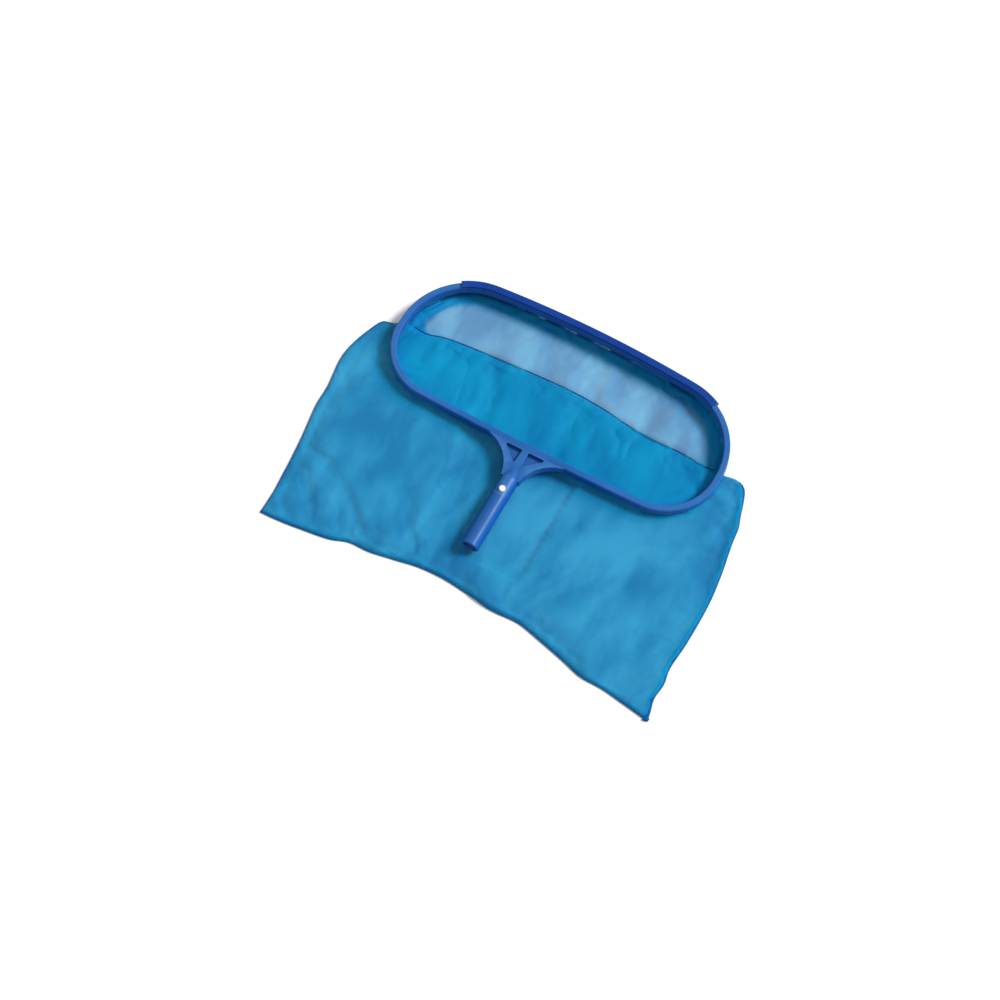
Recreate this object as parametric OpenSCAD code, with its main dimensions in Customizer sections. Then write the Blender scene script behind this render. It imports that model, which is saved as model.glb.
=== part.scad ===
// Leaf skimmer net for a pool pole, lying flat with its bag spread towards the spigot.
// X runs along the hoop, +Y from the spigot to the scoop lip, +Z up, and z = 0 is the floor.

/* [Hoop] */
// Outside length of the hoop
hoop_l = 445; // [380:5:520]
// From the hoop's middle to the middle of its far long side
far_reach = 95.8; // [92:0.2:110]
// From the hoop's middle to the middle of its near long side, by the spigot
near_reach = 87.5; // [86:0.5:100]
// From the hoop's middle to the centres of its far corners, along its length
far_corner_x = 128.8; // [120:0.1:140]
// From the hoop's middle to the centres of its near corners, along its length
near_corner_x = 150; // [140:1:155]
// Width of the hoop's section
rim_w = 8; // [8:0.5:12]
// Height of the hoop's section
rim_h = 13; // [12:0.5:18]
// Height of the middle of the hoop and the spigot above the floor
mid_z = 18; // [17:0.5:30]

/* [Scoop lip] */
// How far the scraping edge stands out from the hoop
lip_reach = 4; // [3.5:0.5:8]
// Thickness of the lip on top of the hoop
lip_cap = 2.2; // [1.6:0.2:3]
// Direction in degrees, round the far right corner, where the lip ends
lip_right = 62; // [20:1:80]
// Direction in degrees, round the far left corner, where the lip ends
lip_left = 56; // [20:1:80]

/* [Spigot] */
// Outside diameter of the stretch that slides into the pole
spigot_d = 22.5; // [20:0.1:30]
// Wall thickness of the spigot
spigot_wall = 2.2; // [1.6:0.1:2.4]
// From the hoop's middle to the open end of the spigot
spigot_reach = 228; // [215:1:260]
// From the hoop's middle to the snap buttons
button_y = 148; // [145:1:152]
// Diameter of the snap buttons
button_d = 8; // [6:0.5:9]
// How far the snap buttons stand out of the spigot
button_rise = 3.2; // [2:0.1:3.4]

/* [Bag] */
// From the hoop's middle to the bag's folded left side
bag_left = 267; // [250:1:300]
// From the hoop's middle to the bag's right bottom tip
bag_right = 285; // [270:1:320]
// From the hoop's middle to the bag's lowest tip
bag_drop = 313; // [300:1:380]
// Thickness of one layer of net
net_t = 0.8; // [0.6:0.1:1]
// Width of the hem down the bag's right side
side_hem_w = 6; // [4:0.5:8]
// Width of the seam along the bag's bottom
bottom_hem_w = 4; // [3:0.5:6]

/* [Hidden] */
$fn = 180;

// Each long side bows out as an arc that runs smoothly into its two corners. A side is the place
// of its right corner's centre, the corner's radius, how far behind it the bow's centre lies and
// the bow's radius. Each bow turns through the small angle of a right triangle.
function side(corner_x, reach, across, behind, slope) =
    let (r = hoop_l / 2 - corner_x, drop = corner_x * behind / across,
        bow_r = corner_x * slope / across + r)
    [corner_x, reach - bow_r + drop, r, drop, bow_r];
far_side = side(far_corner_x, far_reach, 23, 264, 265);
near_side = side(near_corner_x, near_reach, 120, 3599, 3601);
bow_fn = 1800;
rim_bottom = mid_z - rim_h / 2;
rim_top = mid_z + rim_h / 2;
rim_chamfer = 1.2;
slot_w = 2.4;
slot_h = 1.5;
chamber_w = rim_w - 3.6;
chamber_top = rim_top - 3;
clear = 0.1;

// Where the hoop's middle stands when the origin is in the middle of the floor area
hoop_x = (bag_left - bag_right) / 2;
hoop_y = (bag_drop - far_reach - lip_reach) / 2;

// Neck
neck_top_y = near_reach - 1;
neck_end_y = neck_top_y + 43;
flank_r = 50;
flank_x = 61.5;
flank_y = neck_end_y + 7;
rib_w = 8.6;
pocket_round = 1.5;
web_t = 3;

// Spigot
spigot_r = spigot_d / 2;
root_r = spigot_r + 0.2;
root_y = button_y + 8;
bore_r = spigot_r - spigot_wall;
bore_y = button_y - 12;
nose_y = neck_top_y + 20;
hole_r = button_d / 2 + 0.6;
mouth_chamfer = 0.8;

// Snap clip
arm_w = 8;
arm_t = 1.6;
arm_lever = 58;
arm_tip = 5;
pivot_y = button_y + arm_lever;
pivot_z = sqrt(bore_r * bore_r - arm_w * arm_w / 4) - arm_t / 2 - 0.3;
hinge_gap = 0.3;
button_top = spigot_r + button_rise;
button_edge = 1;

// Hem in the hoop's groove
cord_r = 1.4;
sleeve_w = 3.8;
sleeve_z = rim_bottom + slot_h + 0.3;
tail_w = 1.2;

// Bag: the floor layer, the layer above it, and the layer that is tucked in under the hoop
layer_2 = 2 * net_t;
layer_3 = 4 * net_t;
edge_t = 1.5;
tail_z = layer_3 + net_t + 0.3;
far_tail_z = net_t + 0.3;
left_edge = [
    [-bag_left + 37, -4], [-bag_left + 18, -12], [-bag_left + 3, -55], [-bag_left, -68],
    [-bag_left + 12, -177], [-bag_left + 23, -286], [-bag_left + 21, -bag_drop + 10]
];
bottom_edge = [
    [-bag_left + 21, -bag_drop + 6], [-191, -bag_drop + 11], [-66, -bag_drop + 35],
    [72, -bag_drop + 32], [218, -bag_drop + 10], [bag_right - side_hem_w, -bag_drop]
];
right_edge = [
    [bag_right, -bag_drop], [bag_right, -bag_drop + bottom_hem_w], [bag_right - 6, -283],
    [bag_right - 4, -200], [bag_right - 9, -110], [bag_right - 18, -42], [bag_right - 30, -3],
    [bag_right - 45, 10]
];
fold_edge = [[106, 8], [-4, 17], [-90, 12]];

function shifted(points, by) = [for (p = points) p + by];
function backwards(points) = [for (i = [len(points) - 1:-1:0]) points[i]];

// Puts what is drawn round the hoop's middle in its place
module at_hoop() {
    translate([hoop_x, hoop_y, 0]) children();
}

// The line from a corner's centre along which the bow and the corner meet, some way beyond
function seam(side, beyond) = [side[0] * (1 + beyond), side[1] + side[3] * beyond];

// The area in which a long side's bow is drawn
module bow_area(side) {
    end = seam(side, 0.1);
    polygon([[-side[0], side[1]], [side[0], side[1]], end, [-end[0], end[1]]]);
}

// The area in which a long side's right corner is drawn
module corner_area(side) {
    end = seam(side, 0.1);
    polygon([[side[0], side[1]], end, [hoop_l, end[1]], [hoop_l, side[1]]]);
}

// Half of a hoop outline, drawn inward by the given distance
module half_outline(side, inset) {
    intersection() {
        translate([0, side[1] - side[3]]) circle(side[4] - inset, $fn = bow_fn);
        bow_area(side);
    }
    for (mx = [0, 1])
        mirror([mx, 0])
            intersection() {
                translate([side[0], side[1]]) circle(side[2] - inset);
                corner_area(side);
            }
}

module hoop_outline(inset) {
    half_outline(far_side, inset);
    mirror([0, 1]) half_outline(near_side, inset);
    translate([-hoop_l / 2 + inset, -near_side[1]])
        square([hoop_l - 2 * inset, near_side[1] + far_side[1]]);
}

// A section swept round a centre: the section's x is the distance inward from the hoop's outside
module turned(x, y, r, from, turn) {
    translate([x, y, 0])
        rotate_extrude(start = from, angle = turn) translate([r, 0]) mirror([1, 0]) children();
}

// A section swept along a long side's bow
module bow_sweep(side) {
    intersection() {
        turned(0, side[1] - side[3], side[4], 80, 20, $fn = bow_fn) children();
        linear_extrude(2 * mid_z + rim_h) bow_area(side);
    }
}

// A section swept round a long side's right corner, from the given direction to the bow
module corner_sweep(side, from) {
    intersection() {
        turned(side[0], side[1], side[2], from, 100 - from) children();
        linear_extrude(2 * mid_z + rim_h) corner_area(side);
    }
}

// A section swept along a long side and both its corners
module half_sweep(side) {
    bow_sweep(side) children();
    for (mx = [0, 1])
        mirror([mx, 0, 0]) corner_sweep(side, -2) children();
}

// A section swept all the way round the hoop
module around_hoop() {
    half_sweep(far_side) children();
    mirror([0, 1, 0]) half_sweep(near_side) children();
    for (mx = [0, 1])
        mirror([mx, 0, 0])
            translate([hoop_l / 2, far_side[1], 0])
                rotate([90, 0, 0])
                    linear_extrude(near_side[1] + far_side[1]) mirror([1, 0]) children();
}

// The hoop's section: a channel with a narrow slot underneath for the bag's hem
module rim_section() {
    difference() {
        polygon([
            [0, rim_bottom], [rim_w, rim_bottom], [rim_w, rim_top - rim_chamfer],
            [rim_w - rim_chamfer, rim_top], [rim_chamfer, rim_top], [0, rim_top - rim_chamfer]
        ]);
        translate([(rim_w - slot_w) / 2, rim_bottom - 1]) square([slot_w, slot_h + 2]);
        translate([(rim_w - chamber_w) / 2, rim_bottom + slot_h])
            square([chamber_w, chamber_top - rim_bottom - slot_h]);
    }
}

// A round bar along the spigot's axis, between two distances from the hoop's middle
module spigot_bar(from, to, r1, r2) {
    translate([0, -from, mid_z]) rotate([90, 0, 0]) cylinder(h = to - from, r1 = r1, r2 = r2);
}

// The Y-shaped neck's outline, with a hollow flank on each side
module neck_outline() {
    difference() {
        translate([-flank_x + 10, -neck_end_y]) square([2 * flank_x - 20, neck_end_y - neck_top_y]);
        for (sx = [-1, 1])
            translate([sx * flank_x, -flank_y]) circle(flank_r);
    }
}

// One of the triangular pockets between the neck's ribs
module pocket(side) {
    near = neck_top_y + 3 + pocket_round;
    inside = rib_w / 2 + pocket_round;
    hull() {
        for (p = [[inside, -near], [inside + 18, -near], [inside + 1, -near - 15.5]])
            translate([side * p[0], p[1], rim_bottom - 1])
                cylinder(h = rim_h + 2, r = pocket_round, $fn = 24);
    }
}

module hoop_frame() {
    color("royalblue") at_hoop() {
        around_hoop() rim_section();
        difference() {
            union() {
                difference() {
                    translate([0, 0, rim_bottom]) linear_extrude(rim_h) neck_outline();
                    for (side = [-1, 1]) pocket(side);
                }
                translate([0, 0, mid_z - web_t / 2]) linear_extrude(web_t) neck_outline();
                spigot_bar(nose_y, neck_end_y, rib_w / 2, root_r);
                spigot_bar(neck_end_y, root_y, root_r, root_r);
                spigot_bar(root_y, spigot_reach - mouth_chamfer, spigot_r, spigot_r);
                spigot_bar(spigot_reach - mouth_chamfer, spigot_reach,
                    spigot_r, spigot_r - mouth_chamfer);
            }
            spigot_bar(bore_y, spigot_reach + 1, bore_r, bore_r);
            translate([0, -button_y, mid_z - 2 * spigot_r]) cylinder(h = 4 * spigot_r, r = hole_r);
        }
    }
}

// The lip's section: a cap over the rim, a sloping scraper and hooks at both ends
module lip_section() {
    edge_z = rim_top - 5;
    hook = 1.6;
    polygon([
        [rim_w, rim_top], [rim_w, rim_top + lip_cap - 0.8], [rim_w - 0.8, rim_top + lip_cap],
        [-1, rim_top + lip_cap], [-lip_reach, edge_z + 1.2], [-lip_reach, edge_z],
        [-2.2, edge_z - 5], [-2.2, rim_bottom - hook], [hook, rim_bottom - hook],
        [hook, rim_bottom - clear], [-clear, rim_bottom - clear],
        [-clear, rim_top - rim_chamfer], [rim_chamfer - clear, rim_top]
    ]);
}

module scoop_lip() {
    color("navy") at_hoop() {
        bow_sweep(far_side) lip_section();
        for (mx = [0, 1])
            mirror([mx, 0, 0])
                corner_sweep(far_side, mx == 0 ? lip_right : lip_left) lip_section();
    }
}

// The cord's place in the middle of the sleeve
module cord_section(r) {
    translate([rim_w / 2, sleeve_z + sleeve_w / 2]) circle(r, $fn = 32);
}

module hem_cord() {
    color("white") at_hoop() around_hoop() cord_section(cord_r);
}

// The spread bag's outline, from the tucked fold under the hoop down to the seams
module bag_outline() {
    polygon(concat(
        left_edge,
        shifted([for (i = [1:len(bottom_edge) - 1]) bottom_edge[i]], [0, bottom_hem_w]),
        shifted([for (i = [2:len(right_edge) - 1]) right_edge[i]], [-side_hem_w, 0]),
        fold_edge
    ));
}

// A flat layer of the bag
module layer(z, h) {
    translate([0, 0, z]) linear_extrude(h) children();
}

// The hem round the bag's mouth: a sleeve for the cord in the hoop's groove, and the band of
// net below it, which reaches down to the floor layer where no other layer lies under the hoop
module mouth_hem() {
    color("steelblue") at_hoop() {
        around_hoop() {
            difference() {
                union() {
                    translate([(rim_w - sleeve_w) / 2, sleeve_z]) square(sleeve_w);
                    translate([(rim_w - tail_w) / 2, tail_z]) square([tail_w, sleeve_z - tail_z]);
                }
                cord_section(cord_r + clear);
            }
        }
        layer(far_tail_z, tail_z - far_tail_z)
            difference() {
                hoop_outline((rim_w - tail_w) / 2);
                hoop_outline((rim_w + tail_w) / 2);
                offset(delta = 0.3) bag_outline();
            }
    }
}

module net_bag() {
    color("deepskyblue") at_hoop() {
        // The panel on the floor, which runs on under the hoop's opening
        layer(0, net_t) {
            bag_outline();
            hoop_outline((rim_w - net_t) / 2);
        }
        // The layer above it and the walls that close the sides
        layer(layer_2, net_t) bag_outline();
        layer(0, layer_2 + net_t)
            difference() {
                bag_outline();
                offset(delta = -edge_t) bag_outline();
                hoop_outline((rim_w + net_t) / 2 + edge_t);
            }
        // The part tucked in under the opening, and its fold
        layer(layer_3, net_t)
            intersection() {
                bag_outline();
                hoop_outline((rim_w - net_t) / 2);
            }
        layer(layer_2, layer_3 + net_t - layer_2)
            intersection() {
                difference() {
                    bag_outline();
                    translate([0, -net_t]) bag_outline();
                }
                hoop_outline((rim_w - net_t) / 2);
            }
    }
}

module side_hem() {
    color("darkcyan") at_hoop()
        layer(0, layer_2 + net_t)
            polygon(concat(right_edge, backwards(shifted(right_edge, [-side_hem_w, 0]))));
}

module bottom_hem() {
    color("darkcyan") at_hoop()
        layer(0, layer_2 + net_t)
            polygon(concat(bottom_edge, backwards(shifted(bottom_edge, [0, bottom_hem_w]))));
}

// A strip of the clip between two distances from the hoop's middle
module strip(from, to) {
    translate([-arm_w / 2, -to, pivot_z - arm_t / 2]) cube([arm_w, to - from, arm_t]);
}

module clip_bow() {
    stub = 4;
    bend_y = pivot_y + arm_t / 2 + hinge_gap + stub;
    color("white") at_hoop() translate([0, 0, mid_z]) {
        for (mz = [0, 1])
            mirror([0, 0, mz]) strip(bend_y - stub, bend_y);
        translate([-arm_w / 2, -bend_y, 0])
            rotate([90, 0, 90])
                rotate_extrude(start = 90, angle = 180)
                    translate([pivot_z - arm_t / 2, 0]) square([arm_t, arm_w]);
    }
}

// One arm of the clip with its button, standing up
module snap_arm() {
    strip(button_y - arm_tip, pivot_y);
    translate([-arm_w / 2, -pivot_y, pivot_z]) rotate([0, 90, 0]) cylinder(h = arm_w, d = arm_t);
    translate([0, -button_y, pivot_z])
        cylinder(h = button_top - button_edge - pivot_z, d = button_d, $fn = 96);
    translate([0, -button_y, button_top - button_edge])
        cylinder(h = button_edge, d1 = button_d, d2 = button_d - 2 * button_edge, $fn = 96);
}

module upper_snap_arm() {
    color("white") at_hoop() translate([0, 0, mid_z]) snap_arm();
}

module lower_snap_arm() {
    color("white") at_hoop() translate([0, 0, mid_z]) mirror([0, 0, 1]) snap_arm();
}

hoop_frame();
scoop_lip();
net_bag();
side_hem();
bottom_hem();
mouth_hem();
hem_cord();
clip_bow();
upper_snap_arm();
lower_snap_arm();
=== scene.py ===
import math

import bpy
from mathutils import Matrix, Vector, noise
from mathutils.geometry import delaunay_2d_cdt


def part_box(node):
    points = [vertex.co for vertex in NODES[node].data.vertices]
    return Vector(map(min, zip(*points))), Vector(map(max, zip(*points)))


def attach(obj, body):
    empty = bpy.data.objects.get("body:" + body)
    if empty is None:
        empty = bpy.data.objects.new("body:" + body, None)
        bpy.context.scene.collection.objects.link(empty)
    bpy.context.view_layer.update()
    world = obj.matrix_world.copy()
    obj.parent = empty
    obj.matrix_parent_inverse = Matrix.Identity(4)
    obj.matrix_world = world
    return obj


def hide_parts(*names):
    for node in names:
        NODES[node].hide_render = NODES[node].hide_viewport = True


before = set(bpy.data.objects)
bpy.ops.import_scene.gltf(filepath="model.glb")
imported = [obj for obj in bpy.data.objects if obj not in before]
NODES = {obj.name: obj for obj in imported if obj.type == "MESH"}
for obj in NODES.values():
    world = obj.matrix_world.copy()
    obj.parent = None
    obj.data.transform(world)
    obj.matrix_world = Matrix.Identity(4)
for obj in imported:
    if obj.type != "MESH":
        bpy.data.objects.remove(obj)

noise.seed_set(3)  # without a seed, noise_vector gives other values in each run

MM = 0.001
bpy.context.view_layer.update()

# ---------------------------------------------------------------- places, from the frame
HOOP_LOW, HOOP_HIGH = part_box("hoop_frame")
HEM_LOW, HEM_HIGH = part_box("mouth_hem")
NEAR_REACH, FAR_REACH = 87.5, 95.8  # mm from the hoop's middle to its two long sides
HOOP_X = (HOOP_LOW[0] + HOOP_HIGH[0]) / 2
HOOP_Y = (HEM_LOW[1] + HEM_HIGH[1] + (NEAR_REACH - FAR_REACH) * MM) / 2
RIM_MIDDLE = 4.0  # mm from the hoop's outside to the middle of its section
SLOT_Z = 13.4 * MM  # where the net meets the sleeve in the hoop's groove
CORD_Z = 15.2 * MM
# A long side of the hoop, far (1) or near (-1), in mm: the centre (x, y) and radius of its
# corners, then the centre (y) and radius of its bow
SIDES = {1: (128.8, -3.5, 93.7, -1481.9, 1577.7), -1: (150, 12.5, 72.5, -4486.25, 4573.75)}


def at_hoop(x, y):
    """A place given in mm from the hoop's middle, in the row frame."""
    return (HOOP_X + x * MM, HOOP_Y + y * MM)


# ------------------------------------------------ outline of the spread bag, mm from the hoop's middle
LEFT_SIDE = [
    (-218.5, 2), (-229, -3), (-236, -8), (-244, -9), (-250, -15), (-256, -30), (-262, -48),
    (-266, -68), (-266, -87), (-261, -122), (-260.5, -150), (-254, -193), (-250, -227),
    (-248, -250), (-246, -275), (-246, -306)
]
BOTTOM_SIDE = [
    (-246, -306), (-222, -305), (-188, -301), (-155, -296), (-132, -288), (-106, -287),
    (-73, -281), (-41, -275), (-6, -274), (32, -278), (58, -281.5), (95, -280), (124, -286),
    (165, -296), (190, -303), (221, -304), (258, -309), (285, -313)
]
RIGHT_SIDE = [
    (285, -313), (282.5, -300), (279, -284), (281, -263), (278, -243), (281, -204), (281.5, -150),
    (277, -105), (273, -82), (270, -62), (268, -44), (263, -29), (258, -11), (251, 5), (238, 11),
    (218.5, 8)
]
FOLD = [
    (218.5, 8), (191, 6.4), (162, 8.6), (106, 8), (48, 15), (-4, 17), (-90, 12.4), (-159, 6.7),
    (-190, -1), (-218.5, 2)
]
# Where the net is pulled together at the mouth's left end, from the fold up to the rim
CREASE = [(-180, -4), (-196, 12), (-186, 36), (-168, 64)]
SPACING = 6 * MM
# Heights of the bag's outer edge and of its three layers before they settle
EDGE_Z, FLOOR_Z, UPPER_Z, TUCK_Z = 1.4 * MM, 0.7 * MM, 2.2 * MM, 3.8 * MM
# How far the two covering layers are set above the bottom one after settling
UPPER_LIFT, TUCK_LIFT = 1.5 * MM, 2.8 * MM
COVERED_HEIGHT = 1.2 * MM  # the most that the covered part of the bottom layer rises
SETTLE_FRAMES = 40
TRIM_SPACING = 3 * MM
THREAD_PITCH = 0.9 * MM


def smooth_line(points, spacing):
    """A Catmull-Rom curve through the points, with points at an even spacing."""
    pts = [Vector(at_hoop(*p)) for p in points]
    pts = [2 * pts[0] - pts[1]] + pts + [2 * pts[-1] - pts[-2]]
    fine = []
    for a, b, c, d in zip(pts, pts[1:], pts[2:], pts[3:]):
        for i in range(20):
            t = i / 20
            fine.append(
                0.5 * (2 * b + (c - a) * t + (2 * a - 5 * b + 4 * c - d) * t**2
                       + (3 * b - a - 3 * c + d) * t**3)
            )
    fine.append(pts[-2])
    return even(fine, spacing)


def even(fine, spacing):
    """The same line with evenly spaced points."""
    total = sum((b - a).length for a, b in zip(fine, fine[1:]))
    n = max(2, round(total / spacing))
    out, walked, want = [fine[0].copy()], 0.0, total / n
    for a, b in zip(fine, fine[1:]):
        length = (b - a).length
        while length > 0 and walked + length >= want - 1e-9 and len(out) < n:
            out.append(a.lerp(b, (want - walked) / length))
            want += total / n
        walked += length
    out.append(fine[-1].copy())
    return out


def half_hoop(inset, side):
    """One long side of the hoop and its corners, at an inset in mm, from right to left."""
    cx, cy, r, by, bow_r = SIDES[side]
    bow = math.atan2(cx, cy - by)
    line = [(cx + (r - inset) * math.cos(a), cy + (r - inset) * math.sin(a))
            for a in ((math.pi / 2 - bow) * i / 60 for i in range(60))]
    line += [((bow_r - inset) * math.sin(a), by + (bow_r - inset) * math.cos(a))
             for a in (bow * (1 - i / 40) for i in range(40))]
    line += [(0.0, by + bow_r - inset)] + [(-x, y) for x, y in reversed(line)]
    return [Vector(at_hoop(x, side * y)) for x, y in line]


def hoop_line(inset, start, end, side, spacing):
    """The line round the hoop at an inset, from point to point by the far (1) or near (-1) side."""
    keep = [p for p in half_hoop(inset, side) if side * (p.y - (start.y + end.y) / 2) > 0.002]
    return even([start] + keep + [end], spacing)


def inside(p, loop):
    hit = False
    for a, b in zip(loop, loop[1:] + loop[:1]):
        if (a.y > p.y) != (b.y > p.y) and p.x < (b.x - a.x) * (p.y - a.y) / (b.y - a.y) + a.x:
            hit = not hit
    return hit


def line_distance(p, line):
    best = 1.0
    for a, b in zip(line, line[1:]):
        d = b - a
        t = max(0.0, min(1.0, (p - a).dot(d) / max(d.length_squared, 1e-12)))
        best = min(best, (p - a - d * t).length)
    return best


def step(low, high, x):
    """Rises smoothly from 0 at low to 1 at high."""
    t = max(0.0, min(1.0, (x - low) / (high - low)))
    return t * t * (3 - 2 * t)


class Bag:
    """The bag's mesh, built layer by layer."""

    def __init__(self):
        self.points, self.faces, self.held, self.lifts = [], [], set(), {}

    def line(self, flat, z, held):
        first = len(self.points)
        for p in flat:
            self.points.append(Vector((p.x, p.y, z)))
        ids = list(range(first, len(self.points)))
        if held:
            self.held.update(ids)
        return ids

    def layer(self, loop, z, seed, lift):
        """Fills a closed loop of point numbers with a slightly creased triangle lattice at height z."""
        rim = [self.points[i].xy for i in loop]
        x0, x1 = min(p.x for p in rim), max(p.x for p in rim)
        y0, y1 = min(p.y for p in rim), max(p.y for p in rim)
        flat, ids = list(rim), list(loop)
        rows = int((y1 - y0) / (SPACING * 0.866)) + 1
        for j in range(rows):
            y = y0 + (j + 0.5) * SPACING * 0.866
            for i in range(int((x1 - x0) / SPACING) + 1):
                x = x0 + (i + 0.5 * (j % 2)) * SPACING
                n = noise.noise_vector(Vector((x * 300, y * 300, seed)))
                p = Vector((x + n.x * SPACING * 0.15, y + n.y * SPACING * 0.15))
                if inside(p, rim) and line_distance(p, rim + rim[:1]) > SPACING * 0.55:
                    flat.append(p)
                    crease = noise.noise(Vector((x * 22, y * 11, seed * 7.0)))
                    self.points.append(Vector((p.x, p.y, z + crease * 0.9 * MM)))
                    ids.append(len(self.points) - 1)
                    self.lifts[ids[-1]] = lift
        out = delaunay_2d_cdt(flat, [], [list(range(len(rim)))], 1, 1e-7)
        names = [o[0] if o else None for o in out[3]]
        for f in out[2]:
            if all(names[i] is not None for i in f):
                self.faces.append([ids[names[i]] for i in f])

    def skirt(self, ids, top, rows):
        """A wall from a line of points up to the hoop's slot."""
        below = ids
        for k in range(1, rows + 1):
            row = []
            for i in ids:
                p = self.points[i]
                row.append(len(self.points))
                self.points.append(Vector((p.x, p.y, p.z + (top - p.z) * k / rows)))
            for a, b, c, d in zip(below, below[1:], row[1:], row):
                self.faces += [[a, b, c], [a, c, d]]
            below = row
        self.held.update(below)


def build_bag():
    """The bag as one sheet: bottom layer, upper panel, tucked part and the skirts up to the hoop."""
    left, bottom = smooth_line(LEFT_SIDE, SPACING), smooth_line(BOTTOM_SIDE, SPACING)
    right, fold = smooth_line(RIGHT_SIDE, SPACING), smooth_line(FOLD, SPACING)
    far = hoop_line(RIM_MIDDLE, right[-1], left[0], 1, SPACING)
    near = hoop_line(RIM_MIDDLE, right[-1], left[0], -1, SPACING)
    bag = Bag()
    lf = bag.line(left, EDGE_Z, True)
    bt = [lf[-1]] + bag.line(bottom[1:], EDGE_Z, True)
    rt = [bt[-1]] + bag.line(right[1:], EDGE_Z, True)
    fd = [rt[-1]] + bag.line(fold[1:-1], (UPPER_Z + TUCK_Z) / 2, True) + [lf[0]]
    fa = [rt[-1]] + bag.line(far[1:-1], FLOOR_Z, False) + [lf[0]]
    ne = [rt[-1]] + bag.line(near[1:-1], TUCK_Z, False) + [lf[0]]
    bag.layer(lf[:-1] + bt[:-1] + rt[:-1] + fd[:-1], UPPER_Z, 1, UPPER_LIFT)
    bag.layer(fd[::-1][:-1] + ne[:-1], TUCK_Z, 2, TUCK_LIFT)
    bag.layer(lf[:-1] + bt[:-1] + rt[:-1] + fa[:-1], FLOOR_Z, 3, 0.0)
    bag.skirt(fa, SLOT_Z, 3)
    bag.skirt(ne, SLOT_Z, 3)
    mesh = bpy.data.meshes.new("net_cloth")
    mesh.from_pydata(bag.points, [], bag.faces)
    mesh.validate()
    obj = bpy.data.objects.new("net_cloth", mesh)
    bpy.context.scene.collection.objects.link(obj)
    group = obj.vertex_groups.new(name="held")
    group.add(sorted(bag.held), 1.0, "REPLACE")
    for f in mesh.polygons:
        f.use_smooth = True
    lay_uv(mesh)
    bag.lifts.update({i: TUCK_LIFT for i in ne[1:-1]})
    return obj, bag.lifts, left, bottom, right, fold


def lay_uv(mesh):
    """The cloth's own coordinates in metres, which the weave follows."""
    uv = mesh.uv_layers.new(name="cloth")
    for loop in mesh.loops:
        p = mesh.vertices[loop.vertex_index].co
        uv.data[loop.index].uv = (p.x + 0.3 * p.z, p.y + p.z)


def settle(obj, floor, frames):
    """Lets the bag settle on the floor by cloth simulation, and keeps the settled mesh."""
    hit = floor.modifiers.new("hit", "COLLISION")
    floor.collision.thickness_outer = 0.4 * MM
    floor.collision.cloth_friction = 20
    cloth = obj.modifiers.new("settle", "CLOTH")
    s = cloth.settings
    s.quality = 6
    s.mass = 0.0001
    s.tension_stiffness = s.compression_stiffness = 5
    s.shear_stiffness = 2
    s.bending_stiffness = 0.02
    s.air_damping = 2
    s.vertex_group_mass = "held"
    s.shrink_min = s.shrink_max = -0.02
    c = cloth.collision_settings
    c.distance_min = 0.4 * MM
    c.use_self_collision = False
    c.self_distance_min = 1.0 * MM
    c.self_friction = 5
    c.collision_quality = 3
    cloth.point_cache.frame_start, cloth.point_cache.frame_end = 1, frames
    scene = bpy.context.scene
    for f in range(1, frames + 1):
        scene.frame_set(f)
    done = obj.evaluated_get(bpy.context.evaluated_depsgraph_get())
    settled = [v.co.copy() for v in done.data.vertices]
    obj.modifiers.remove(cloth)
    floor.modifiers.remove(hit)
    scene.frame_set(1)
    moved = sorted((a - v.co).length / MM for a, v in zip(settled, obj.data.vertices))
    middle, most = round(moved[len(moved) // 2], 1), round(moved[-1], 1)
    print("bag settled, moves in mm, middle and most:", middle, most)
    for v, p in zip(obj.data.vertices, settled):
        v.co = p
    obj.data.update()


def part_layers(obj, lifts, fold):
    """Sets the layers apart: the bottom one flat where it is covered, the others above it."""
    line = [(p.x, p.y) for p in fold]
    for i, lift in lifts.items():
        co = obj.data.vertices[i].co
        edge = min(line, key=lambda q: abs(q[0] - co.x))[1]
        if lift == 0 and co.y < edge:
            co.z = min(co.z, COVERED_HEIGHT)
        co.z += lift
    obj.data.update()


def keep_clear(obj):
    """Presses the cloth down where the spigot, its lower button and the rim lie over it."""
    ring = half_hoop(RIM_MIDDLE, 1) + half_hoop(RIM_MIDDLE, -1)[::-1]
    ring.append(ring[0])
    for v in obj.data.vertices:
        x, y = (v.co.x - HOOP_X) / MM, (v.co.y - HOOP_Y) / MM
        cap = 9.5
        if abs(x) < 70 and -240 < y < -86:
            cap = 5.4 + 4 * step(12, 30, abs(x))
            cap = min(cap, 2.9 + 3 * step(6, 14, math.hypot(x, y + 148)))
        if v.co.z > cap * MM and line_distance(v.co.xy, ring) > 1.5 * MM:
            v.co.z = cap * MM
        v.co.z = max(v.co.z, 0.3 * MM)
    obj.data.update()


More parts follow.
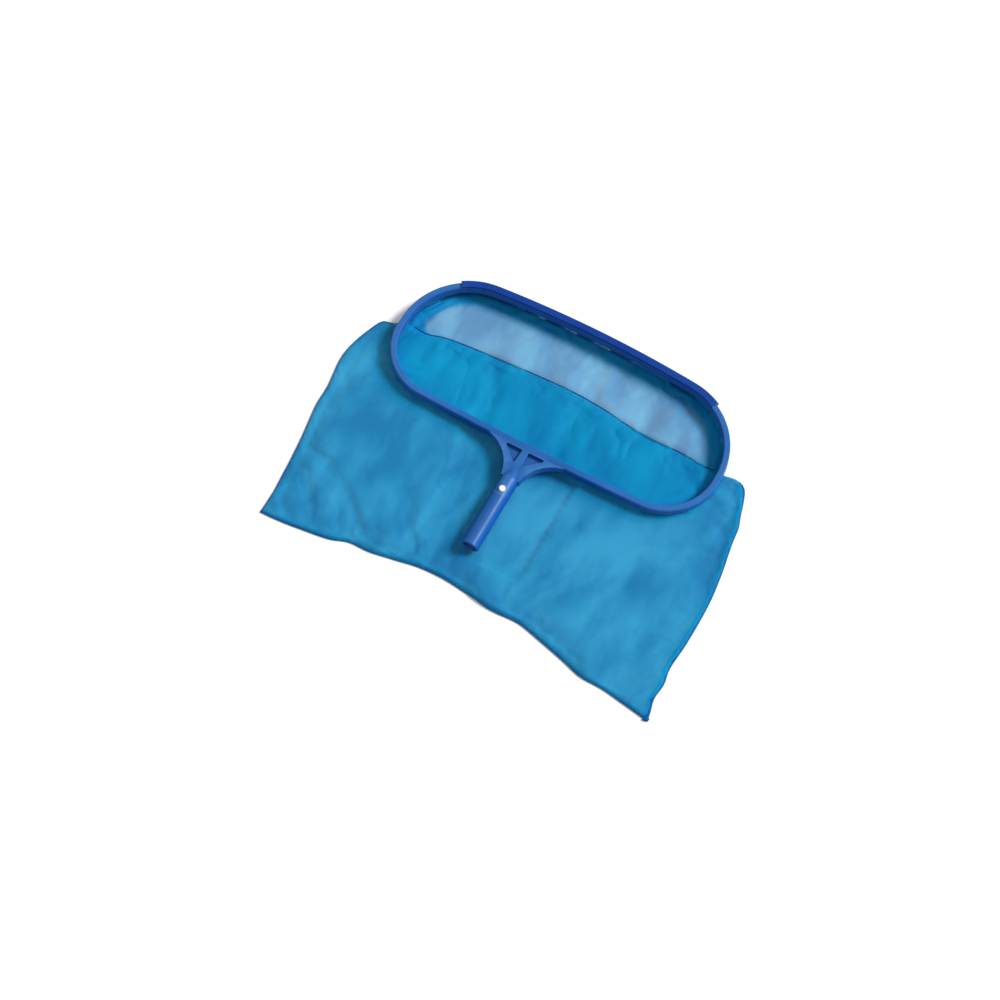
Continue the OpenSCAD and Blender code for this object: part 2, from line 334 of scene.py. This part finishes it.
def mark_gathers_and_shade(obj):
    """How much the net is bunched up at each place in the mouth, with painted shade by the rim and a
    painted crease highlight, for the weave's darkness.
    """
    ring = half_hoop(8, 1) + half_hoop(8, -1)[::-1]
    ring.append(ring[0])
    crease = [Vector(at_hoop(*p)) for p in CREASE]
    gather_and_shade = obj.data.attributes.new("gather_and_shade", "FLOAT", "POINT")
    for v, g in zip(obj.data.vertices, gather_and_shade.data):
        p = v.co.xy
        x, y = (p.x - HOOP_X) / MM, (p.y - HOOP_Y) / MM
        rim = line_distance(p, ring) / MM
        value = 0.0
        if inside(p, ring):
            # Painted shade: the net darkens along the rim's inside at the right end (partly for net
            # gathered steeply there), at the far side under the lip and along the near rim, where the
            # hoop's shadow falls; the last term darkens the near part, where the tucked third layer
            # lies.
            far_side = step(-10, 40, y)
            value = 0.8 * step(130, 195, x) * step(24, 5, rim) + 0.25 * step(20, 3, rim) * far_side
            value += 0.3 * step(14, 2, rim) * step(10, -40, y) + 0.15 * step(14, 6, y)
            for (xa, ya), (xb, yb) in zip(CREASE, CREASE[1:]):
                if ya <= y < yb:
                    behind = xa + (xb - xa) * (y - ya) / (yb - ya) - x
                    value += 0.6 * step(0, 7, behind)
            # Painted highlight: the net is lightened along the crease line.
            value -= 0.35 * step(4.5, 1, line_distance(p, crease) / MM)
            raised = step(0.8 * MM, 2.2 * MM, v.co.z)
            # The far skirt is made dense and dark: partly the steep wall of net, partly painted shade
            # under the rim.
            value = max(value, 0.9 * step(14, 6, rim) * raised * far_side)
        elif rim < 6:
            value = 0.95
        g.value = value


def strip(line, width, low, high, inward, wave):
    """A flat rounded strip of folded net along a line, from the line inward."""
    section = []
    for i in range(10):
        a = 2 * math.pi * i / 10
        c, s = math.cos(a), math.sin(a)
        across = math.copysign(abs(c) ** 0.6, c) * 0.5 + 0.5
        up = math.copysign(abs(s) ** 0.8, s) * 0.5 + 0.5
        section.append((across * width, low + up * (high - low)))
    points, faces = [], []
    for k, p in enumerate(line):
        ahead = line[min(k + 1, len(line) - 1)] - line[max(k - 1, 0)]
        side = Vector((-ahead.y, ahead.x)).normalized() * inward
        shift = noise.noise(Vector((p.x * 45, p.y * 45, 5.0))) * wave
        for across, z in section:
            q = p + side * (across * MM + shift * 0.4 * (0.5 + across / width))
            points.append(Vector((q.x, q.y, z * MM + shift * 0.15)))
    n = len(section)
    for k in range(len(line) - 1):
        for i in range(n):
            a, b = k * n + i, k * n + (i + 1) % n
            faces.append([a, b, b + n, a + n])
    faces += [list(range(n))[::-1], [(len(line) - 1) * n + i for i in range(n)]]
    return points, faces


def add_stitches(points, faces, line, across, z, inward):
    """Sewing thread: a row of short raised stitches along a strip."""
    first = len(faces)
    for a, b in zip(line, line[1:]):
        ahead = (b - a).normalized()
        side = Vector((-ahead.y, ahead.x)) * inward
        mid = (a + b) / 2 + side * across * MM
        base = len(points)
        for end, wide, up in ((-1, 0.12, 0), (-0.6, 0.32, 0.4), (0.6, 0.32, 0.4), (1, 0.12, 0)):
            for s, lift in ((-1, 0), (0, 1), (1, 0)):
                q = mid + ahead * end * 1.25 * MM + side * s * wide * MM
                points.append(Vector((q.x, q.y, (z + up * lift) * MM)))
        for k in range(3):
            i = base + 3 * k
            faces += [[i, i + 1, i + 4, i + 3], [i + 1, i + 2, i + 5, i + 4]]
    return range(first, len(faces))


def new_piece(name, points, faces, mats, second=()):
    mesh = bpy.data.meshes.new(name)
    mesh.from_pydata(points, [], faces)
    for m in mats:
        mesh.materials.append(m)
    for i in second:
        mesh.polygons[i].material_index = 1
    for f in mesh.polygons:
        f.use_smooth = True
    lay_uv(mesh)
    obj = bpy.data.objects.new(name, mesh)
    bpy.context.scene.collection.objects.link(obj)
    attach(obj, "net")
    return obj


def sewn_strip(name, line, width, low, high, inward, wave, seams):
    points, faces = strip(line, width, low, high, inward, wave)
    sewn = []
    for across in seams:
        sewn += add_stitches(points, faces, even(line, 3.6 * MM), across, high - 0.15, inward)
    return new_piece(name, points, faces, [HEM_BLUE, THREAD_BLUE], sewn)


def sleeve(name, radius):
    """The net rolled round the cord in the hoop's groove, all the way round."""
    rings = []
    for i in range(10):
        a = 2 * math.pi * i / 10
        inset = RIM_MIDDLE + radius * math.sin(a)
        z = CORD_Z - radius * MM * math.cos(a)
        loop = half_hoop(inset, 1) + half_hoop(inset, -1)[::-1]
        rings.append([Vector((p.x, p.y, z)) for p in loop])
    n = len(rings[0])
    points = [p for ring in rings for p in ring]
    faces = []
    for i in range(10):
        for k in range(n):
            a, b = i * n, ((i + 1) % 10) * n
            faces.append([a + k, a + (k + 1) % n, b + (k + 1) % n, b + k])
    return new_piece(name, points, faces, [HEM_BLUE])


# ---------------------------------------------------------------- materials
def material(name):
    m = bpy.data.materials.new(name)
    m.use_nodes = True
    return m, m.node_tree, m.node_tree.nodes["Principled BSDF"]


def node(tree, kind, **values):
    n = tree.nodes.new(kind)
    for key, value in values.items():
        if hasattr(n, key):
            setattr(n, key, value)
        else:
            n.inputs[key.replace("_", " ")].default_value = value
    return n


def sums(tree, operation, a, b, clamp=False):
    """A Math node on two sockets or numbers."""
    n = tree.nodes.new("ShaderNodeMath")
    n.operation, n.use_clamp = operation, clamp
    for i, x in enumerate((a, b)):
        if isinstance(x, (int, float)):
            n.inputs[i].default_value = x
        else:
            tree.links.new(x, n.inputs[i])
    return n.outputs["Value"]


def mixed(tree, fac, a, b):
    """A colour between two, each a socket or a colour."""
    n = tree.nodes.new("ShaderNodeMix")
    n.data_type = "RGBA"
    tree.links.new(fac, n.inputs["Factor"])
    for name, x in (("A", a), ("B", b)):
        socket = [i for i in n.inputs if i.name == name and i.type == "RGBA"][0]
        if isinstance(x, tuple):
            socket.default_value = x
        else:
            tree.links.new(x, socket)
    return [o for o in n.outputs if o.type == "RGBA"][0]


def moulded(name, colour, shade, sides, worn, rough, shine):
    """Satin moulded plastic: paler on top as painted light and darker on the sides as painted shade,
    with slow tone changes, a fine grain and rubbed edges.
    """
    m, t, p = material(name)
    link = t.links.new
    where = node(t, "ShaderNodeTexCoord")
    soft = node(t, "ShaderNodeTexNoise", Scale=16.0, Detail=4.0)
    fine = node(t, "ShaderNodeTexNoise", Scale=1100.0, Detail=2.0)
    scuff = node(t, "ShaderNodeTexNoise", Scale=140.0, Detail=6.0, Roughness=0.7)
    edges = node(t, "ShaderNodeNewGeometry")
    for n in (soft, fine, scuff):
        link(where.outputs["Object"], n.inputs["Vector"])
    tone = node(t, "ShaderNodeMapRange", From_Min=0.35, From_Max=0.65)
    link(soft.outputs["Fac"], tone.inputs["Value"])
    base = mixed(t, tone.outputs["Result"], shade, colour)
    # Painted light and shade: upward faces keep the top colours, while steep walls and undersides turn
    # to the sides colour.
    split = node(t, "ShaderNodeSeparateXYZ")
    link(where.outputs["Normal"], split.inputs["Vector"])
    painted_top_light = node(t, "ShaderNodeMapRange", From_Min=0.3)
    link(split.outputs["Z"], painted_top_light.inputs["Value"])
    base = mixed(t, painted_top_light.outputs["Result"], sides, base)
    edge = node(t, "ShaderNodeMapRange", From_Min=0.52, From_Max=0.62)
    link(edges.outputs["Pointiness"], edge.inputs["Value"])
    rub = sums(t, "MULTIPLY", edge.outputs["Result"], scuff.outputs["Fac"], True)
    link(mixed(t, rub, base, worn), p.inputs["Base Color"])
    gloss = node(
        t, "ShaderNodeMapRange", From_Min=0.3, From_Max=0.7, To_Min=rough - 0.05, To_Max=rough + 0.1)
    link(scuff.outputs["Fac"], gloss.inputs["Value"])
    link(gloss.outputs["Result"], p.inputs["Roughness"])
    bump = node(t, "ShaderNodeBump", Strength=0.12, Distance=0.0002)
    link(fine.outputs["Fac"], bump.inputs["Height"])
    link(bump.outputs["Normal"], p.inputs["Normal"])
    p.inputs["Specular IOR Level"].default_value = shine
    return m


def woven(name, colour, shade, bunched_and_shaded, cover, pitch):
    """Fine mesh: threads both ways, with the holes between them letting what is behind show."""
    m, t, p = material(name)
    link = t.links.new
    where = node(t, "ShaderNodeUVMap", uv_map="cloth")
    drawn = node(t, "ShaderNodeMapping")
    drawn.inputs["Scale"].default_value = (1.0, 0.4, 1.0)
    soft = node(t, "ShaderNodeTexNoise", Scale=26.0, Detail=4.0, Roughness=0.6)
    cloud = node(t, "ShaderNodeTexNoise", Scale=9.0, Detail=2.0)
    gather_and_shade = node(t, "ShaderNodeAttribute", attribute_name="gather_and_shade")
    link(where.outputs["UV"], drawn.inputs["Vector"])
    link(drawn.outputs["Vector"], soft.inputs["Vector"])
    link(where.outputs["UV"], cloud.inputs["Vector"])
    # Painted shade: thin darker streaks along the noise's fold lines stand in for shade in the net's
    # creases.
    folds = node(t, "ShaderNodeTexNoise", Scale=13.0, Detail=3.0, Roughness=0.6, Distortion=0.6)
    link(drawn.outputs["Vector"], folds.inputs["Vector"])
    ridge = sums(t, "ABSOLUTE", sums(t, "SUBTRACT", folds.outputs["Fac"], 0.5), 0.0)
    painted_fold_shade = node(t, "ShaderNodeMapRange", From_Max=0.035, To_Min=0.3, To_Max=0.0)
    link(ridge, painted_fold_shade.inputs["Value"])
    tone = sums(t, "ADD", sums(t, "MULTIPLY", soft.outputs["Fac"], 0.5),
                sums(t, "MULTIPLY", cloud.outputs["Fac"], 0.5))
    wide = node(t, "ShaderNodeMapRange", From_Min=0.41, From_Max=0.59)
    lined = sums(t, "SUBTRACT", tone, sums(t, "MULTIPLY", painted_fold_shade.outputs["Result"], 0.12))
    link(lined, wide.inputs["Value"])
    base = mixed(t, wide.outputs["Result"], shade, colour)
    # Painted shade and highlight: the attribute's positive values darken the net to the deep colour,
    # both where it is bunched and where shade is painted; its negative values along the crease lighten
    # it to pale blue as a painted highlight.
    dark = sums(t, "MULTIPLY", gather_and_shade.outputs["Fac"], 0.85, True)
    light = sums(t, "MULTIPLY", gather_and_shade.outputs["Fac"], -0.5, True)
    base = mixed(t, light, mixed(t, dark, base, bunched_and_shaded), (0.25, 0.6, 0.8, 1))
    link(base, p.inputs["Base Color"])
    waves = []
    for axis in ("X", "Y"):
        wave = node(t, "ShaderNodeTexWave", bands_direction=axis, Scale=math.pi / 10 / pitch)
        link(where.outputs["UV"], wave.inputs["Vector"])
        waves.append(wave.outputs["Fac"])
    most = sums(t, "MAXIMUM", waves[0], waves[1])
    alpha = node(t, "ShaderNodeMapRange", From_Min=0.2, To_Min=cover - 0.16, To_Max=cover + 0.08)
    link(most, alpha.inputs["Value"])
    thick = sums(t, "MULTIPLY_ADD", gather_and_shade.outputs["Fac"], 0.5)
    thick.node.inputs[2].default_value = -0.12
    less = sums(t, "MULTIPLY", sums(t, "SUBTRACT", 0.5, wide.outputs["Result"]), 0.1)
    more = sums(t, "ADD", thick, sums(t, "ADD", less, 0.12))
    link(sums(t, "ADD", alpha.outputs["Result"], more, True), p.inputs["Alpha"])
    height = sums(t, "ADD", most, sums(t, "MULTIPLY", soft.outputs["Fac"], 8.0))
    bump = node(t, "ShaderNodeBump", Strength=0.35, Distance=0.0002)
    link(height, bump.inputs["Height"])
    link(bump.outputs["Normal"], p.inputs["Normal"])
    p.inputs["Roughness"].default_value = 0.6
    p.inputs["Sheen Weight"].default_value = 0.02
    p.inputs["Specular IOR Level"].default_value = 0.08
    return m


def braided(name, colour, shade, pitch):
    """Braided cord or thread: two slanting sets of strands."""
    m, t, p = material(name)
    link = t.links.new
    where = node(t, "ShaderNodeTexCoord")
    waves = []
    for turn in (0.8, -0.8):
        slant = node(t, "ShaderNodeMapping")
        slant.inputs["Rotation"].default_value = (0.3, 0.4, turn)
        wave = node(t, "ShaderNodeTexWave", Scale=math.pi / 10 / pitch)
        link(where.outputs["Object"], slant.inputs["Vector"])
        link(slant.outputs["Vector"], wave.inputs["Vector"])
        waves.append(wave.outputs["Fac"])
    strands = sums(t, "MULTIPLY", waves[0], waves[1])
    link(mixed(t, strands, shade, colour), p.inputs["Base Color"])
    bump = node(t, "ShaderNodeBump", Strength=0.5, Distance=0.0003)
    link(strands, bump.inputs["Height"])
    link(bump.outputs["Normal"], p.inputs["Normal"])
    p.inputs["Roughness"].default_value = 0.75
    return m


def ground(name):
    """The pale floor: even, with a faint grain."""
    m, t, p = material(name)
    grain = node(t, "ShaderNodeTexNoise", Scale=30.0, Detail=3.0)
    pale = mixed(t, grain.outputs["Fac"], (0.93, 0.93, 0.93, 1), (0.96, 0.96, 0.96, 1))
    t.links.new(pale, p.inputs["Base Color"])
    p.inputs["Roughness"].default_value = 0.9
    p.inputs["Specular IOR Level"].default_value = 0.1
    return m


def paint(obj, mat):
    obj.data.materials.clear()
    obj.data.materials.append(mat)


# The third colour of each moulded plastic is painted shade for its walls and undersides.
HOOP_BLUE = moulded(
    "hoop_plastic", (0.018, 0.115, 0.36, 1), (0.012, 0.092, 0.31, 1), (0.0, 0.07, 0.36, 1),
    (0.06, 0.2, 0.5, 1), 0.34, 0.2)
LIP_BLUE = moulded(
    "lip_plastic", (0.002, 0.038, 0.26, 1), (0.0, 0.026, 0.2, 1), (0.0, 0.01, 0.1, 1),
    (0.012, 0.08, 0.34, 1), 0.38, 0.14)
# The net's third colour is for bunched net and for painted shade.
NET_BLUE = woven(
    "net", (0.0, 0.345, 0.63, 1), (0.0, 0.2, 0.45, 1), (0.0, 0.17, 0.42, 1), 0.63, THREAD_PITCH)
HEM_BLUE = woven(
    "hem", (0.0, 0.1, 0.33, 1), (0.0, 0.06, 0.25, 1), (0.0, 0.04, 0.14, 1), 0.9, THREAD_PITCH)
THREAD_BLUE = braided("thread", (0.01, 0.18, 0.48, 1), (0.0, 0.1, 0.34, 1), 0.5 * MM)
CORD_WHITE = braided("cord", (0.75, 0.78, 0.8, 1), (0.6, 0.64, 0.68, 1), 1.2 * MM)
CLIP_WHITE = moulded(
    "clip_plastic", (0.82, 0.9, 0.9, 1), (0.75, 0.84, 0.84, 1), (0.78, 0.86, 0.86, 1),
    (0.9, 0.95, 0.95, 1), 0.4, 0.5)

for name, mat in (
    ("hoop_frame", HOOP_BLUE), ("scoop_lip", LIP_BLUE), ("hem_cord", CORD_WHITE),
    ("clip_bow", CLIP_WHITE), ("upper_snap_arm", CLIP_WHITE), ("lower_snap_arm", CLIP_WHITE)
):
    paint(NODES[name], mat)

# ---------------------------------------------------------------- floor
bpy.ops.mesh.primitive_plane_add(size=60, location=(0, 0, 0))
floor = bpy.context.object
floor.name = "floor"
paint(floor, ground("floor"))

# ---------------------------------------------------------------- the bag
bag, lifts, left, bottom, right, fold = build_bag()
settle(bag, floor, SETTLE_FRAMES)
part_layers(bag, lifts, fold)
keep_clear(bag)
mark_gathers_and_shade(bag)
soft = bag.modifiers.new("soft", "SUBSURF")
soft.levels = soft.render_levels = 1
paint(bag, NET_BLUE)
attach(bag, "net")
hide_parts("net_bag")

side_hem = sewn_strip(
    "side_seam_hem", even(right[:-4], TRIM_SPACING), 6.4, 0.3, 2.9, 1, 1.2 * MM, (1.6, 4.6))
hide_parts("side_hem")
bottom_hem = sewn_strip(
    "bottom_seam_hem", even(bottom, TRIM_SPACING), 4.0, 0.3, 2.7, 1, 1.6 * MM, (2.2,))
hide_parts("bottom_hem")
mouth = sleeve("mouth_sleeve", 1.85)
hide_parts("mouth_hem")
fold_edge = new_piece(
    "fold_edge", *strip(even(fold[2:-2], TRIM_SPACING), 1.3, 2.5, 3.9, -1, 0.4 * MM), [HEM_BLUE])
side_edge = new_piece(
    "folded_side_edge", *strip(even(left[3:], TRIM_SPACING), 1.5, 0.5, 2.5, 1, 0.5 * MM), [HEM_BLUE])
area = sum(f.area for f in bag.data.polygons)
print("cloth area in square metres:", round(area, 4))

# ---------------------------------------------------------------- light and camera
bpy.context.scene.view_settings.view_transform = "Standard"
world = bpy.data.worlds.new("world")
world.use_nodes = True
world.node_tree.nodes["Background"].inputs["Color"].default_value = (1, 1, 1, 1)
world.node_tree.nodes["Background"].inputs["Strength"].default_value = 0.5
bpy.context.scene.world = world

SUN_FROM = Vector((1.1, 0.9, 1.35))
sun = bpy.data.objects.new("sun", bpy.data.lights.new("sun", "SUN"))
sun.data.energy, sun.data.angle = 3.5, math.radians(18)
sun.rotation_euler = (-SUN_FROM).to_track_quat("-Z", "Y").to_euler()
bpy.context.scene.collection.objects.link(sun)

AZIMUTH, ELEVATION, FAR = math.radians(29.06), math.radians(67), 2.829
LOOK_AT = Vector((*at_hoop(3.8, -160.2), 24.5 * MM))
camera = bpy.data.objects.new("camera", bpy.data.cameras.new("camera"))
bpy.context.scene.collection.objects.link(camera)
camera.data.lens = 85
back = Vector((
    math.sin(AZIMUTH) * math.cos(ELEVATION),
    -math.cos(AZIMUTH) * math.cos(ELEVATION),
    math.sin(ELEVATION),
))
camera.location = LOOK_AT + back * FAR
camera.rotation_euler = (-back).to_track_quat("-Z", "Y").to_euler()
bpy.context.scene.camera = camera
